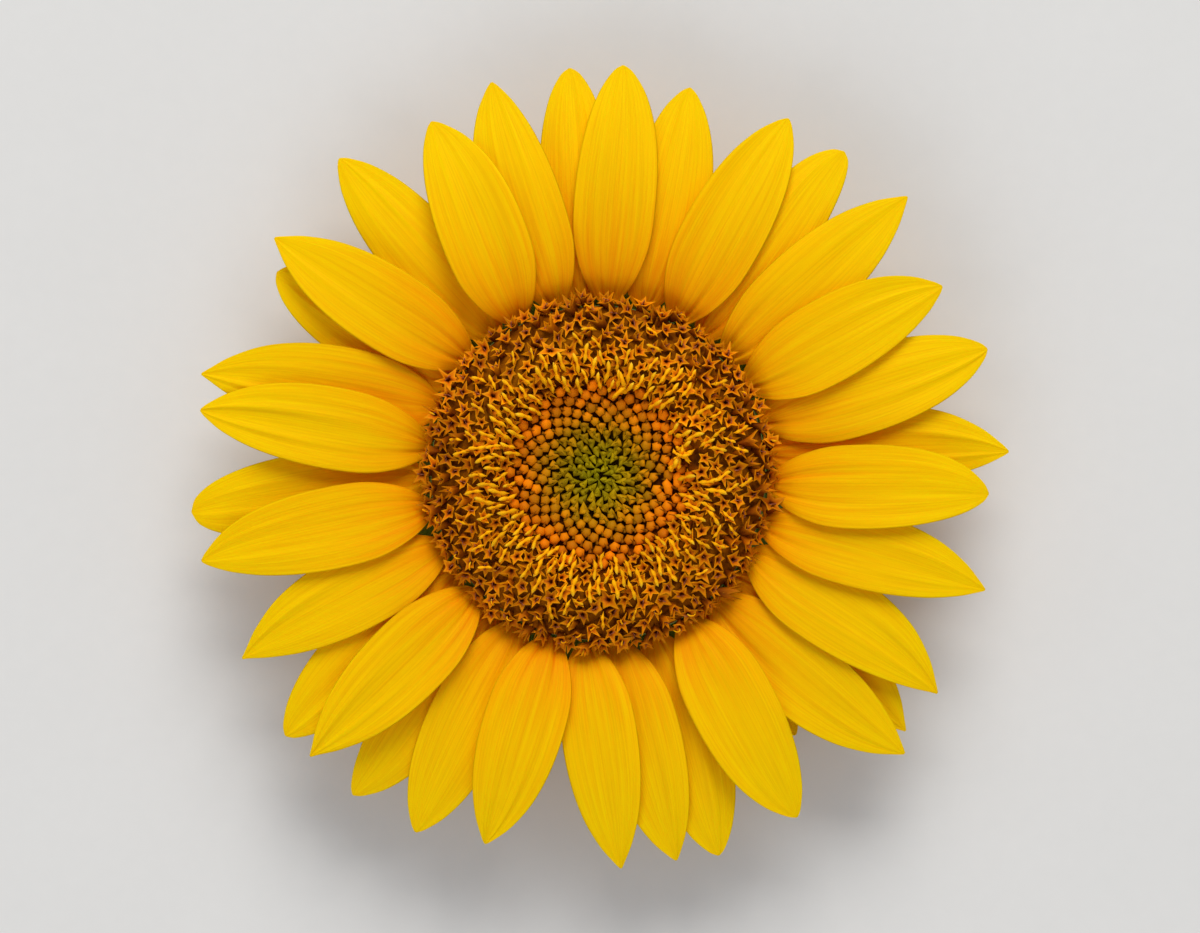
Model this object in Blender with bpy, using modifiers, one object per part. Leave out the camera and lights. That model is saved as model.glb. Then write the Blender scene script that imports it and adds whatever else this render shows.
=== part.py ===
"""A sunflower head in full bloom, cut flush below the head and resting on its back, face up.

Metres, +Z up out of the face. The origin is at the bottom centre of the whole head's box: the
cut face of the stalk rests on z = 0. Azimuths run anticlockwise from +X, seen from above.
"""

import math
import random

import bmesh
import bpy

MM = 0.001

# The head's own axis stands a little off the middle of the box, because the rays differ in length.
HEAD_AXIS = (-0.4 * MM, -1.6 * MM, 0.0)

# Receptacle and cut stalk: radius and height of each ring of the turned outline, top to bottom.
RIM_RADIUS = 41.0 * MM
RIM_HEIGHT = 23.6 * MM
STALK_RADIUS = 11.0 * MM
RECEPTACLE_OUTLINE = (
    (0.0, RIM_HEIGHT),
    (RIM_RADIUS - 1.2 * MM, RIM_HEIGHT),
    (RIM_RADIUS, RIM_HEIGHT - 1.0 * MM),
    (37.8 * MM, 17.6 * MM),
    (31.0 * MM, 13.2 * MM),
    (22.0 * MM, 10.4 * MM),
    (14.5 * MM, 8.6 * MM),
    (STALK_RADIUS + 0.4 * MM, 6.4 * MM),
    (STALK_RADIUS, 3.0 * MM),
    (STALK_RADIUS, 0.0),
    (0.0, 0.0),
)
TURNED_STEPS = 40

# Disc florets, packed in rings by age. Each ring: name, colour, and its top line from the
# inside out as radius and height. The rings stand on the receptacle, a thin gap apart.
GAP = 0.4 * MM
FLORET_FOOT = RIM_HEIGHT + GAP
FLORET_WALL = 40.6 * MM
FLORET_WALL_TOP = 29.0 * MM
DISC_RINGS = (
    ("disc_buds_green", (0.20, 0.22, 0.03), ((0.0, 31.6), (5.5, 31.8), (10.8, 32.6))),
    ("disc_buds_orange", (0.55, 0.20, 0.02), ((10.8, 32.6), (16.5, 33.4), (22.0, 34.6))),
    ("disc_florets_open", (0.72, 0.36, 0.03), ((22.0, 36.0), (28.5, 37.4), (35.4, 36.2))),
    ("disc_florets_outer", (0.35, 0.13, 0.03), ((35.4, 35.4), (40.0, 34.0), (43.9, 31.4))),
)

# Ray florets. Each row: root azimuth, tip azimuth, reach of the tip from the head's axis,
# greatest width, sideways bow of the middle line and its sideways hook near the tip
# (anticlockwise is positive), how pointed the tip is (1 is sharp, 0.5 blunt), and layer, which is
# how high the ray lies in the stack of overlapping rays. Degrees and millimetres.
RAYS = (
    (356.0, 357.0, 95.2, 20.5, 0.0, 1.0, 0.65, 3.6),
    (7.0, 3.0, 100.6, 20.0, 1.0, 1.0, 0.85, 0.0),
    (17.5, 17.7, 99.8, 21.0, -0.5, 0.0, 0.7, 1.0),
    (30.5, 28.5, 95.5, 20.5, 0.4, 0.8, 0.8, 2.0),
    (42.0, 41.8, 101.3, 19.5, 0.0, 0.3, 0.9, 1.0),
    (53.0, 52.6, 99.1, 18.0, -0.5, 1.1, 0.55, 0.0),
    (63.0, 61.8, 98.3, 20.0, 0.3, 0.0, 0.75, 1.0),
    (74.5, 76.6, 97.0, 20.0, -1.0, 0.3, 0.7, 0.0),
    (87.0, 86.5, 99.9, 20.0, 0.0, -0.5, 0.65, 1.0),
    (95.5, 94.0, 99.4, 18.0, 0.0, 0.0, 0.6, 0.0),
    (104.5, 105.3, 98.9, 19.5, 0.5, 0.7, 0.8, 1.8),
    (118.0, 115.4, 94.9, 21.0, -0.5, -0.6, 0.75, 2.7),
    (127.0, 129.5, 99.8, 19.5, 0.0, 0.0, 0.75, 0.0),
    (139.0, 144.0, 97.7, 20.0, 0.0, 0.0, 0.9, 1.8),
    (147.5, 148.0, 92.8, 19.0, 0.5, 0.0, 0.6, 0.0),
    (157.0, 166.0, 100.0, 21.0, -0.5, -0.7, 0.95, 1.0),
    (171.0, 171.0, 98.4, 20.0, -0.5, -0.4, 0.8, 2.0),
    (181.5, 185.5, 100.1, 20.0, -0.5, 0.0, 0.5, 0.0),
    (191.0, 192.5, 99.1, 20.0, 0.0, -0.8, 0.8, 2.8),
    (205.0, 207.5, 98.0, 19.5, -0.5, -0.8, 1.0, 1.9),
    (214.5, 220.0, 99.9, 19.5, -1.0, 0.0, 0.65, 0.9),
    (224.0, 224.5, 98.5, 20.0, 0.0, 0.0, 1.0, 2.7),
    (233.0, 232.7, 99.1, 19.0, 0.0, 1.0, 0.7, 0.0),
    (242.0, 243.0, 98.5, 20.0, -0.5, 0.0, 0.75, 1.0),
    (254.0, 253.0, 94.5, 20.0, 0.0, 0.3, 0.85, 2.7),
    (265.5, 273.3, 96.7, 18.5, 0.0, -0.3, 0.9, 1.8),
    (276.5, 281.4, 96.6, 19.0, 0.0, -0.4, 0.85, 1.0),
    (289.0, 287.5, 98.2, 20.0, 1.0, -0.4, 0.7, 0.0),
    (301.0, 300.0, 97.0, 21.0, 0.0, -0.6, 0.75, 2.0),
    (306.5, 307.0, 80.4, 15.0, 0.0, 0.0, 0.75, -0.7),
    (312.5, 317.5, 101.5, 20.5, -1.0, -0.4, 0.9, 1.0),
    (322.0, 320.0, 98.2, 20.0, 1.0, 1.0, 0.95, 0.0),
    (332.0, 327.0, 98.7, 20.0, 0.8, 1.4, 0.95, 1.8),
    (343.0, 343.2, 98.5, 19.0, 0.5, 0.7, 0.9, 2.7),
)
RAY_ROOT_RADIUS = 41.4 * MM
RAY_ROOT_HEIGHT = 24.3 * MM
RAY_THICKNESS = 0.5 * MM
RAY_WIDEST = 0.38
RAY_CLAW = 0.16
RAY_TIP_HALF_WIDTH = 0.25 * MM
RAY_SHOULDER = 0.72
RAY_TAPER = 2.6
RAY_HOOK_PEAK = 0.1055
RAY_LAYER_AT_ROOT = 1.0 * MM
RAY_LAYER = 2.1 * MM
RAY_LAYERS_OPEN = 0.15
RAY_CLIMB = 2.2 * MM
RAY_CLIMB_ENDS = 0.2
RAY_ARCH = 3.2 * MM
RAY_DROOP = 3.0 * MM
RAY_TIP_SPREAD = 0.4 * MM
RAY_EDGE = 0.6 * MM
RAY_STEPS_ALONG = 9
RAY_STEPS_ACROSS = 2

# Bracts, round the back of the head. Each is a golden angle on from the last and a little higher,
# from the lowest to the highest. Their curves run through root, middle and tip: radius and height.
BRACTS = 21
BRACT_FIRST_AZIMUTH = 8.0
GOLDEN_ANGLE = 180.0 * (3.0 - math.sqrt(5.0))
LOWEST_BRACT = ((33.0, 12.9), (47.5, 11.0), (62.0, 3.4))
HIGHEST_BRACT = ((39.8, 18.4), (54.5, 21.4), (70.0, 20.4))
BRACT_WIDTH = 17.0 * MM
BRACT_ROOT_SHARE = 0.70
BRACT_WIDEST = 0.24
BRACT_POINT = 1.6
BRACT_TIP_HALF_WIDTH = 0.3 * MM
BRACT_THICKNESS = 0.8 * MM
BRACT_CUP = 1.2 * MM
BRACT_TIP_SPREAD = 1.2 * MM
BRACT_STEPS_ALONG = 7
BRACT_STEPS_ACROSS = 2

SEED = 34


def clear_scene():
    for thing in list(bpy.data.objects):
        bpy.data.objects.remove(thing, do_unlink=True)


def make_collection(name):
    group = bpy.data.collections.new(name)
    bpy.context.scene.collection.children.link(group)
    return group


def make_head_axis(group):
    """The empty that every piece is parented to: the axis of the receptacle."""
    axis = bpy.data.objects.new("head_axis", None)
    axis.location = HEAD_AXIS
    group.objects.link(axis)
    return axis


def plant_material(name, colour, roughness):
    material = bpy.data.materials.new(name)
    material.use_nodes = True
    shader = material.node_tree.nodes["Principled BSDF"]
    shader.inputs["Base Color"].default_value = (*colour, 1.0)
    shader.inputs["Roughness"].default_value = roughness
    shader.inputs["Metallic"].default_value = 0.0
    return material


def ray_material():
    return plant_material("ray_yellow", (0.90, 0.52, 0.01), 0.5)


def bract_material():
    return plant_material("bract_green", (0.13, 0.22, 0.05), 0.7)


def receptacle_material():
    return plant_material("receptacle_green", (0.25, 0.33, 0.10), 0.65)


def floret_material(ring_name, colour):
    return plant_material(ring_name + "_colour", colour, 0.6)


def add_piece(name, mesh, material, group, axis):
    mesh.materials.append(material)
    mesh.shade_smooth()
    piece = bpy.data.objects.new(name, mesh)
    piece.parent = axis
    group.objects.link(piece)
    return piece


def turned_piece(name, outline, material, group, axis, is_ring):
    """Turns an outline round the head's axis. The outline runs down its outer side."""
    shape = bmesh.new()
    corners = [shape.verts.new((radius, 0.0, height)) for radius, height in outline]
    for upper, lower in zip(corners, corners[1:]):
        shape.edges.new((upper, lower))
    if is_ring:
        shape.edges.new((corners[-1], corners[0]))
    mesh = bpy.data.meshes.new(name)
    shape.to_mesh(mesh)
    shape.free()
    piece = add_piece(name, mesh, material, group, axis)
    screw = piece.modifiers.new("turn", "SCREW")
    screw.steps = TURNED_STEPS
    screw.render_steps = TURNED_STEPS
    screw.use_merge_vertices = True
    screw.merge_threshold = 0.01 * MM
    screw.use_smooth_shade = True
    return piece


def bent_sheet(name, steps, place, thickness, material, group, axis):
    """A grid bent to place(along, across), then thickened downwards.

    along runs from 0 at the root to 1 at the tip, closer together at both ends, and across
    from -1 to 1, anticlockwise.
    """
    shape = bmesh.new()
    bmesh.ops.create_grid(shape, x_segments=steps[0], y_segments=steps[1], size=1.0)
    for corner in shape.verts:
        along = (1.0 - math.cos(math.pi * (corner.co.x + 1.0) / 2.0)) / 2.0
        corner.co = place(along, corner.co.y)
    mesh = bpy.data.meshes.new(name)
    shape.to_mesh(mesh)
    shape.free()
    piece = add_piece(name, mesh, material, group, axis)
    wall = piece.modifiers.new("thickness", "SOLIDIFY")
    wall.thickness = thickness
    wall.offset = -1.0
    return piece


def polar(radius, azimuth):
    angle = math.radians(azimuth)
    return radius * math.cos(angle), radius * math.sin(angle)


def eased(share):
    """A step that starts and ends level: 0 below 0, 1 above 1."""
    share = min(max(share, 0.0), 1.0)
    return share * share * (3.0 - 2.0 * share)


def ray_half_width(along, width, point):
    """A claw at the root that opens quickly to the widest place, then an arch to a point."""
    if along < RAY_WIDEST:
        opening = math.sin(math.pi / 2.0 * (along / RAY_WIDEST) ** RAY_SHOULDER)
        share = RAY_CLAW + (1.0 - RAY_CLAW) * opening
    else:
        narrowing = 1.0 - ((along - RAY_WIDEST) / (1.0 - RAY_WIDEST)) ** RAY_TAPER
        share = max(narrowing, 0.0) ** point
    return max(width / 2.0 * share, RAY_TIP_HALF_WIDTH)


def ray_middle_height(along, layer, tip_lift):
    opening = (RAY_LAYER - RAY_LAYER_AT_ROOT) * eased(along / RAY_LAYERS_OPEN)
    layers = layer * (RAY_LAYER_AT_ROOT + opening)
    climb = RAY_CLIMB * eased(along / RAY_CLIMB_ENDS)
    arch = RAY_ARCH * math.sin(math.pi * along)
    return RAY_ROOT_HEIGHT + layers + climb + arch + (tip_lift - RAY_DROOP) * along ** 2


def lies_over(layer, neighbour_layer):
    return 1.0 if layer > neighbour_layer else -1.0


def ray_place(index, tip_lift):
    """The function that bends a flat grid into the ray at this index of RAYS.

    An edge that lies over the neighbouring ray is raised, and one that lies under it lowered.
    The hook is greatest three quarters of the way along.
    """
    root_azimuth, tip_azimuth, reach, width, bow, hook, point, layer = RAYS[index]
    root_x, root_y = polar(RAY_ROOT_RADIUS, root_azimuth)
    tip_x, tip_y = polar(reach * MM, tip_azimuth)
    length = math.hypot(tip_x - root_x, tip_y - root_y)
    ahead_x = (tip_x - root_x) / length
    ahead_y = (tip_y - root_y) / length
    before = lies_over(layer, RAYS[index - 1][-1])
    after = lies_over(layer, RAYS[(index + 1) % len(RAYS)][-1])

    def place(along, across):
        bowed = bow * math.sin(math.pi * along)
        hooked = hook * along ** 3 * (1.0 - along) / RAY_HOOK_PEAK
        sideways = (bowed + hooked) * MM + across * ray_half_width(along, width * MM, point)
        x = root_x + ahead_x * length * along - ahead_y * sideways
        y = root_y + ahead_y * length * along + ahead_x * sideways
        edge = (after - before) / 2.0 * across + (after + before) / 2.0 * across ** 2
        z = ray_middle_height(along, layer, tip_lift)
        z += RAY_EDGE * edge * math.sin(math.pi * along)
        return x, y, z

    return place


def bract_half_width(along):
    """Widest near the root, drawn out to a long point."""
    if along < BRACT_WIDEST:
        opening = math.sin(math.pi / 2.0 * along / BRACT_WIDEST)
        share = BRACT_ROOT_SHARE + (1.0 - BRACT_ROOT_SHARE) * opening
    else:
        narrowing = math.cos(math.pi / 2.0 * (along - BRACT_WIDEST) / (1.0 - BRACT_WIDEST))
        share = max(narrowing, 0.0) ** BRACT_POINT
    return max(BRACT_WIDTH / 2.0 * share, BRACT_TIP_HALF_WIDTH)


def bract_curve(height_share):
    """Root, middle and tip of a bract, this far up from the lowest bract to the highest."""
    return [
        [(low + (high - low) * height_share) * MM for low, high in zip(low_point, high_point)]
        for low_point, high_point in zip(LOWEST_BRACT, HIGHEST_BRACT)
    ]


def bract_place(azimuth, curve, tip_lift):
    """The function that bends a flat grid along the parabola through root, middle and tip."""
    root, middle, tip = curve

    def place(along, across):
        root_share = (1.0 - along) * (1.0 - 2.0 * along)
        middle_share = 4.0 * along * (1.0 - along)
        tip_share = along * (2.0 * along - 1.0)
        radius = root_share * root[0] + middle_share * middle[0] + tip_share * tip[0]
        height = root_share * root[1] + middle_share * middle[1] + tip_share * tip[1]
        x, y = polar(radius, azimuth)
        side_x, side_y = polar(across * bract_half_width(along), azimuth + 90.0)
        cup = BRACT_CUP * across ** 2 * math.sin(math.pi * along)
        return x + side_x, y + side_y, height + cup + tip_lift * along ** 2

    return place


def add_receptacle(group, axis):
    turned_piece("receptacle", RECEPTACLE_OUTLINE, receptacle_material(), group, axis, False)


def disc_ring_outline(top_line, is_outermost):
    """Out along the top of the florets, down their outer wall and in along their foot."""
    top = [(radius * MM, height * MM) for radius, height in top_line]
    wall = [(FLORET_WALL, FLORET_WALL_TOP), (FLORET_WALL, FLORET_FOOT)]
    if not is_outermost:
        outer_radius = top[-1][0] - GAP
        top[-1] = (outer_radius, top[-1][1])
        wall = [(outer_radius, FLORET_FOOT)]
    return top + wall + [(top[0][0], FLORET_FOOT)]


def add_disc(group, axis):
    for number, (name, colour, top_line) in enumerate(DISC_RINGS):
        outline = disc_ring_outline(top_line, number == len(DISC_RINGS) - 1)
        is_ring = top_line[0][0] > 0.0
        turned_piece(name, outline, floret_material(name, colour), group, axis, is_ring)


def add_rays(group, axis, draw):
    material = ray_material()
    steps = (RAY_STEPS_ALONG, RAY_STEPS_ACROSS)
    for index in range(len(RAYS)):
        place = ray_place(index, draw.uniform(-RAY_TIP_SPREAD, RAY_TIP_SPREAD))
        bent_sheet(f"ray_{index + 1:02d}", steps, place, RAY_THICKNESS, material, group, axis)


def add_bracts(group, axis, draw):
    material = bract_material()
    steps = (BRACT_STEPS_ALONG, BRACT_STEPS_ACROSS)
    for number in range(BRACTS):
        azimuth = BRACT_FIRST_AZIMUTH + GOLDEN_ANGLE * number
        curve = bract_curve(number / (BRACTS - 1))
        tip_lift = draw.uniform(-BRACT_TIP_SPREAD, BRACT_TIP_SPREAD)
        place = bract_place(azimuth, curve, tip_lift)
        bent_sheet(f"bract_{number + 1:02d}", steps, place, BRACT_THICKNESS, material, group, axis)


def build():
    clear_scene()
    draw = random.Random(SEED)
    group = make_collection("sunflower_head")
    axis = make_head_axis(group)
    add_receptacle(group, axis)
    add_disc(group, axis)
    add_rays(group, axis, draw)
    add_bracts(group, axis, draw)


build()
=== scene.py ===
import math

import bmesh
import bpy
import numpy as np
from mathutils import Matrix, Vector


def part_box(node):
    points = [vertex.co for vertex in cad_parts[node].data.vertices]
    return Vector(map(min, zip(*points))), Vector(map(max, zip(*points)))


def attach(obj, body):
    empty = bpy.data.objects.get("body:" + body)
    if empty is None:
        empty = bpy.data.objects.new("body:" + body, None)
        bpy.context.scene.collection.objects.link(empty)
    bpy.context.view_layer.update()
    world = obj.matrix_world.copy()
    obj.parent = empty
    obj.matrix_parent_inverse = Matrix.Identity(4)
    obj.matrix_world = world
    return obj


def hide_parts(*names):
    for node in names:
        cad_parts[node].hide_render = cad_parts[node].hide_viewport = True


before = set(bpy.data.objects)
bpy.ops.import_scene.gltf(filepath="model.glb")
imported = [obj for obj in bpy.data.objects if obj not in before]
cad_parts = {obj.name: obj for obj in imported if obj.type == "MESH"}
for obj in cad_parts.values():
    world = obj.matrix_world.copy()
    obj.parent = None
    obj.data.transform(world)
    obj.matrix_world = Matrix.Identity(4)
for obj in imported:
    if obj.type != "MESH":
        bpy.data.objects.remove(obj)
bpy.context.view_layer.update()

MM = 0.001
TURN = 2.0 * math.pi
GOLDEN_ANGLE = math.pi * (3.0 - math.sqrt(5.0))


# --------------------------------------
# Receptacle and cut stalk. The fleshy green back of the head, ribbed and bristly in life but built
# without bristles, narrows to the stalk it grew on. The knife left a flat face there, with a rind
# round pale, spongy pith.
# --------------------------------------
def node_points(node):
    """Every different corner of a CAD node, as rows of x, y, z."""
    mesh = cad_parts[node].data
    corners = np.zeros(len(mesh.vertices) * 3, np.float32)
    mesh.vertices.foreach_get("co", corners)
    return np.unique(np.round(corners.reshape(-1, 3), 6), axis=0).astype(float)


receptacle_low, receptacle_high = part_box("receptacle")
AXIS_X = (receptacle_low.x + receptacle_high.x) / 2.0
AXIS_Y = (receptacle_low.y + receptacle_high.y) / 2.0
AXIS = np.array([AXIS_X, AXIS_Y, 0.0])


def turned_outline(node):
    """Radius and height of every ring of corners of a turned CAD node, highest first."""
    points = node_points(node)
    radii = np.hypot(points[:, 0] - AXIS_X, points[:, 1] - AXIS_Y)
    rings = np.unique(np.round(np.stack([-points[:, 2], radii], 1), 5), axis=0)
    heights, radii = -rings[:, 0], rings[:, 1]
    fresh = np.append(True, (np.abs(np.diff(heights)) > 0.02 * MM) | (np.abs(np.diff(radii)) > 0.1 * MM))
    return radii[fresh], heights[fresh]


def turned_points(radius, azimuth, height):
    """Points at this radius, azimuth and height round the origin."""
    x = radius * np.cos(azimuth)
    return np.stack([x, radius * np.sin(azimuth), np.broadcast_to(height, x.shape)], -1)


def smooth_line(points, samples):
    """A Catmull-Rom curve through points, axis 0, at this many even steps of their numbering.

    Between two points it is the cubic that leaves and arrives with half the chord between the
    points on either side.
    """
    count = len(points)
    place = np.linspace(0.0, count - 1.0, samples)
    start = np.minimum(place.astype(int), count - 2)
    share = (place - start).reshape(-1, *[1] * (points.ndim - 1))
    before = points[np.maximum(start - 1, 0)]
    here = points[start]
    there = points[start + 1]
    after = points[np.minimum(start + 2, count - 1)]
    bend = 2.0 * before - 5.0 * here + 4.0 * there - after
    twist = 3.0 * (here - there) + after - before
    return here + 0.5 * share * ((there - before) + share * (bend + share * twist))


def loop_faces(rows, columns, closed):
    """The four-sided faces between neighbours of a rows by columns grid of points, whose columns
    run on round to the first one if it is closed."""
    row = np.arange(rows - 1)[:, None]
    column = np.arange(columns if closed else columns - 1)[None, :]
    beside = (column + 1) % columns
    corners = [
        row * columns + column,
        row * columns + beside,
        (row + 1) * columns + beside,
        (row + 1) * columns + column,
    ]
    shape = (rows - 1, column.size)
    return np.stack([np.broadcast_to(corner, shape) for corner in corners], -1).reshape(-1, 4)


def make_piece(name, points, faces, material, along=None, across=None, values=None, smooth=True):
    """A mesh object of these points and four-sided faces, its doubled points merged.

    along and across, one number for each point, become the piece's UV map; values gives more
    numbers for each point under a name each, for the material to read.
    """
    points = np.asarray(points, np.float32).reshape(-1, 3)
    mesh = bpy.data.meshes.new(name)
    mesh.vertices.add(len(points))
    mesh.vertices.foreach_set("co", points.ravel())
    mesh.loops.add(faces.size)
    mesh.loops.foreach_set("vertex_index", faces.ravel().astype(np.int32))
    mesh.polygons.add(len(faces))
    mesh.polygons.foreach_set("loop_start", np.arange(0, faces.size, 4, dtype=np.int32))
    mesh.update(calc_edges=True)
    if along is not None:
        layer = mesh.uv_layers.new(name="surface")
        pairs = np.stack([np.ravel(along), np.ravel(across)], 1)[faces.ravel()]
        layer.uv.foreach_set("vector", pairs.astype(np.float32).ravel())
    for label, numbers in (values or {}).items():
        held = mesh.attributes.new(label, "FLOAT", "POINT")
        held.data.foreach_set("value", np.ravel(numbers).astype(np.float32))
    shape = bmesh.new()
    shape.from_mesh(mesh)
    bmesh.ops.remove_doubles(shape, verts=shape.verts, dist=0.0005 * MM)
    bmesh.ops.recalc_face_normals(shape, faces=shape.faces)
    shape.to_mesh(mesh)
    shape.free()
    if smooth:
        mesh.shade_smooth()
    mesh.materials.append(material)
    piece = bpy.data.objects.new(name, mesh)
    bpy.context.scene.collection.objects.link(piece)
    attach(piece, "root")
    return piece


def make_material(name, roughness, specular):
    """A new material: its node tree and its Principled BSDF, with these two values set on it."""
    material = bpy.data.materials.new(name)
    material.use_nodes = True
    shader = material.node_tree.nodes["Principled BSDF"]
    shader.inputs["Roughness"].default_value = roughness
    shader.inputs["Specular IOR Level"].default_value = specular
    return material, material.node_tree, shader


def add_node(tree, kind, settings=None, **wires):
    """Adds a node, sets its own settings, then joins or fills the inputs that wires names."""
    node = tree.nodes.new(kind)
    for key, value in (settings or {}).items():
        setattr(node, key, value)
    for key, value in wires.items():
        socket = node.inputs[int(key[1:])] if key[1:].isdigit() else node.inputs[key.replace("_", " ")]
        if isinstance(value, bpy.types.NodeSocket):
            tree.links.new(value, socket)
        else:
            socket.default_value = value
    return node


def add_ramp(tree, factor, stops):
    """A colour ramp over factor. Each stop is its place and its linear red, green and blue."""
    node = add_node(tree, "ShaderNodeValToRGB", Fac=factor)
    ramp = node.color_ramp
    while len(ramp.elements) < len(stops):
        ramp.elements.new(1.0)
    for element, (place, *colour) in zip(ramp.elements, stops):
        element.position = place
        element.color = (*colour, 1.0)
    return node.outputs["Color"]


def add_maths(tree, operation, first, second):
    return add_node(tree, "ShaderNodeMath", {"operation": operation}, _0=first, _1=second).outputs[0]


def add_tint(tree, kind, share, colour, tint):
    """Mixes tint into colour by share, as the blend of this kind."""
    settings = {"data_type": "RGBA", "blend_type": kind}
    return add_node(tree, "ShaderNodeMix", settings, _0=share, _6=colour, _7=tint).outputs[2]


def add_scaled(tree, colour, factor):
    return add_node(tree, "ShaderNodeVectorMath", {"operation": "SCALE"}, _0=colour, Scale=factor).outputs[0]


def add_shade(tree, colour, value, low, high):
    """The colour times a brightness that goes from low to high as value goes from 0 to 1."""
    swing = add_maths(tree, "MULTIPLY", value, high - low)
    return add_scaled(tree, colour, add_maths(tree, "ADD", swing, low))


def add_distance(tree, place, centre):
    """How far place is from centre, in metres."""
    node = add_node(tree, "ShaderNodeVectorMath", {"operation": "DISTANCE"}, _0=place, _1=centre)
    return node.outputs["Value"]


def add_bump(tree, shader, height, depth, strength):
    """Raises the shader's surface by height, 0 to 1, times depth in metres."""
    node = add_node(tree, "ShaderNodeBump", Height=height, Distance=depth, Strength=strength)
    tree.links.new(node.outputs["Normal"], shader.inputs["Normal"])


def build_tissue_group():
    """Living plant tissue: a colour mottled by soft patches and fine grain, and the grain's height.

    The patches darken or lighten the colour by up to Mottle; the grain is eight times finer.
    """
    group = bpy.data.node_groups.new("plant_tissue", "ShaderNodeTree")
    sockets = group.interface
    for label, way, kind in (
        ("Color", "INPUT", "Color"), ("Scale", "INPUT", "Float"), ("Mottle", "INPUT", "Float"),
        ("Color", "OUTPUT", "Color"), ("Height", "OUTPUT", "Float"),
    ):
        sockets.new_socket(label, in_out=way, socket_type="NodeSocket" + kind)
    given = group.nodes.new("NodeGroupInput")
    result = group.nodes.new("NodeGroupOutput")
    place = add_node(group, "ShaderNodeTexCoord").outputs["Object"]
    finer = add_maths(group, "MULTIPLY", given.outputs["Scale"], 8.0)
    patches = add_node(group, "ShaderNodeTexNoise", Vector=place, Scale=given.outputs["Scale"], Detail=2.0)
    grain = add_node(group, "ShaderNodeTexNoise", Vector=place, Scale=finer, Detail=3.0)
    both = add_maths(group, "ADD", patches.outputs[0], grain.outputs[0])
    swing = add_maths(group, "MULTIPLY", add_maths(group, "SUBTRACT", both, 1.0), given.outputs["Mottle"])
    mottled = add_scaled(group, given.outputs["Color"], add_maths(group, "ADD", swing, 1.0))
    group.links.new(mottled, result.inputs["Color"])
    group.links.new(grain.outputs[0], result.inputs["Height"])
    return group


plant_tissue = build_tissue_group()


def add_tissue(tree, colour, scale, mottle):
    """The plant tissue group on this colour: its colour and its height."""
    wires = {"Color": colour, "Scale": scale, "Mottle": mottle}
    node = add_node(tree, "ShaderNodeGroup", {"node_tree": plant_tissue}, **wires)
    return node.outputs["Color"], node.outputs["Height"]


def cover_in_tissue(tree, shader, colour, scale, mottle, depth, strength):
    """Gives the shader this colour as plant tissue, with the tissue's grain as its bump."""
    colour, grain = add_tissue(tree, colour, scale, mottle)
    tree.links.new(colour, shader.inputs["Base Color"])
    add_bump(tree, shader, grain, depth, strength)


def read_value(tree, label):
    return add_node(tree, "ShaderNodeAttribute", {"attribute_name": label}).outputs["Fac"]


def read_surface(tree):
    """The two numbers of the piece's UV map: along and across."""
    place = add_node(tree, "ShaderNodeUVMap", {"uv_map": "surface"}).outputs["UV"]
    split = add_node(tree, "ShaderNodeSeparateXYZ", Vector=place)
    return split.outputs["X"], split.outputs["Y"]


BACK_RIBS = 21
BACK_RIB_DEPTH = 0.45 * MM
STALK_RIBS = 10
STALK_RIB_DEPTH = 0.35 * MM
BACK_RIBS_FROM, BACK_RIBS_TO = 7.0 * MM, 21.0 * MM
STALK_RIBS_TO = 9.0 * MM
RIBS_FADE = 4.0 * MM
SIDE_FROM_RADIUS = 5.0 * MM
PITH_SHARE = 0.78
PITH_SINK = 0.5 * MM
CUT_FACE_RADIUS = 11.0 * MM
CUT_FACE_HEIGHT = 1.0 * MM
RECEPTACLE_ROWS, RECEPTACLE_COLUMNS = 90, 252


def receptacle_points(rows, columns):
    """The turned outline of the CAD receptacle, smoothed, with ribs.

    The radius swings with the azimuth: 21 low ribs on the back of the head and 10 on the stalk,
    which fade into each other at the neck. The pith of the cut face is sunk a little.
    """
    radii, heights = turned_outline("receptacle")
    side = radii > SIDE_FROM_RADIUS
    side_line = smooth_line(np.stack([radii[side], heights[side]], 1), rows)
    top_centre = [(0.0, heights[0]), (radii[side][0] * 0.5, heights[0])]
    pith = radii[side][-1] * PITH_SHARE
    cut_face = [(pith * 1.04, 0.0), (pith, PITH_SINK), (pith * 0.5, PITH_SINK * 1.3), (0.0, PITH_SINK * 1.4)]
    outline = np.concatenate([top_centre, side_line, cut_face])
    azimuth = np.linspace(0.0, TURN, columns, endpoint=False)
    radius, height = outline[:, :1], outline[:, 1:]
    on_back = np.clip((height - BACK_RIBS_FROM) / RIBS_FADE, 0.0, 1.0) * (height < BACK_RIBS_TO)
    on_stalk = np.clip((STALK_RIBS_TO - height) / RIBS_FADE, 0.0, 1.0) * (radius > pith)
    ribs = on_back * BACK_RIB_DEPTH * np.cos(BACK_RIBS * azimuth + 40.0 * radius)
    ribs = ribs + on_stalk * STALK_RIB_DEPTH * np.cos(STALK_RIBS * azimuth + 0.6 * np.sin(3.0 * azimuth))
    along = np.broadcast_to(np.linspace(0.0, 1.0, len(outline))[:, None], ribs.shape)
    across = np.broadcast_to(azimuth / TURN, ribs.shape)
    return AXIS + turned_points(radius + ribs, azimuth, height), along, across


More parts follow.
